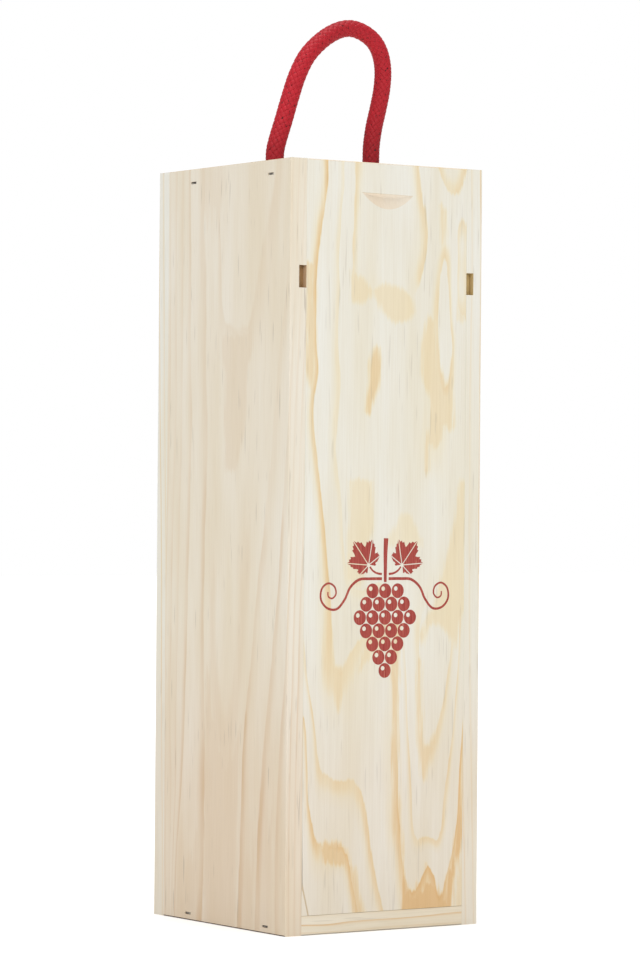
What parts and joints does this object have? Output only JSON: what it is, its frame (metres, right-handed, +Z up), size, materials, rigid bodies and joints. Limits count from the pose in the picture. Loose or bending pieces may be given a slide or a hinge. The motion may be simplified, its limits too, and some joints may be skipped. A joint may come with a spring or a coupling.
{
  "type": "wine box",
  "caption": "Upright pine wine box with a front lid that slides up out of side grooves, a notched neck rest and a rope handle knotted inside.",
  "frame": {"origin": "middle of the underside, on the surface that the box stands on", "axes": "+Z up along the boards, +X to the right seen from the front, -Y towards the lid, +Y towards the back panel"},
  "size_m": [0.11, 0.115, 0.4345],
  "materials": {
    "pine": "bare planed pine, matte",
    "pine_lid": "bare planed pine, matte, flat-sawn",
    "rope": "braided cotton rope, soft sheen",
    "staple_steel": "dull galvanised wire"
  },
  "bodies": {
    "box": {"side_panel_left": "pine", "side_panel_right": "pine", "back_panel": "pine", "bottom_end": "pine", "top_end": "pine", "neck_rest": "pine", "rope_end_left": "rope", "rope_end_right": "rope", "rope_knot_left": "rope", "rope_knot_right": "rope", "side_staples_left": "staple_steel", "side_staples_right": "staple_steel", "back_staples_left": "staple_steel", "back_staples_right": "staple_steel", "back_staples_ends": "staple_steel"},
    "lid": {"sliding_lid": "pine_lid"},
    "handle": {"rope_handle": "rope"}
  },
  "joints": [
    {"name": "lid_slide", "type": "slide", "parent": "box", "child": "lid", "axis": [0, 0, 1], "range_m": [0, 0.355]},
    {"name": "handle_flop", "type": "hinge", "parent": "box", "child": "handle", "pos_m": [0, -0.003, 0.3648], "axis": [-1, 0, 0], "range_deg": [-40, 75], "stiffness_Nm_per_rad": 0.02}
  ]
}
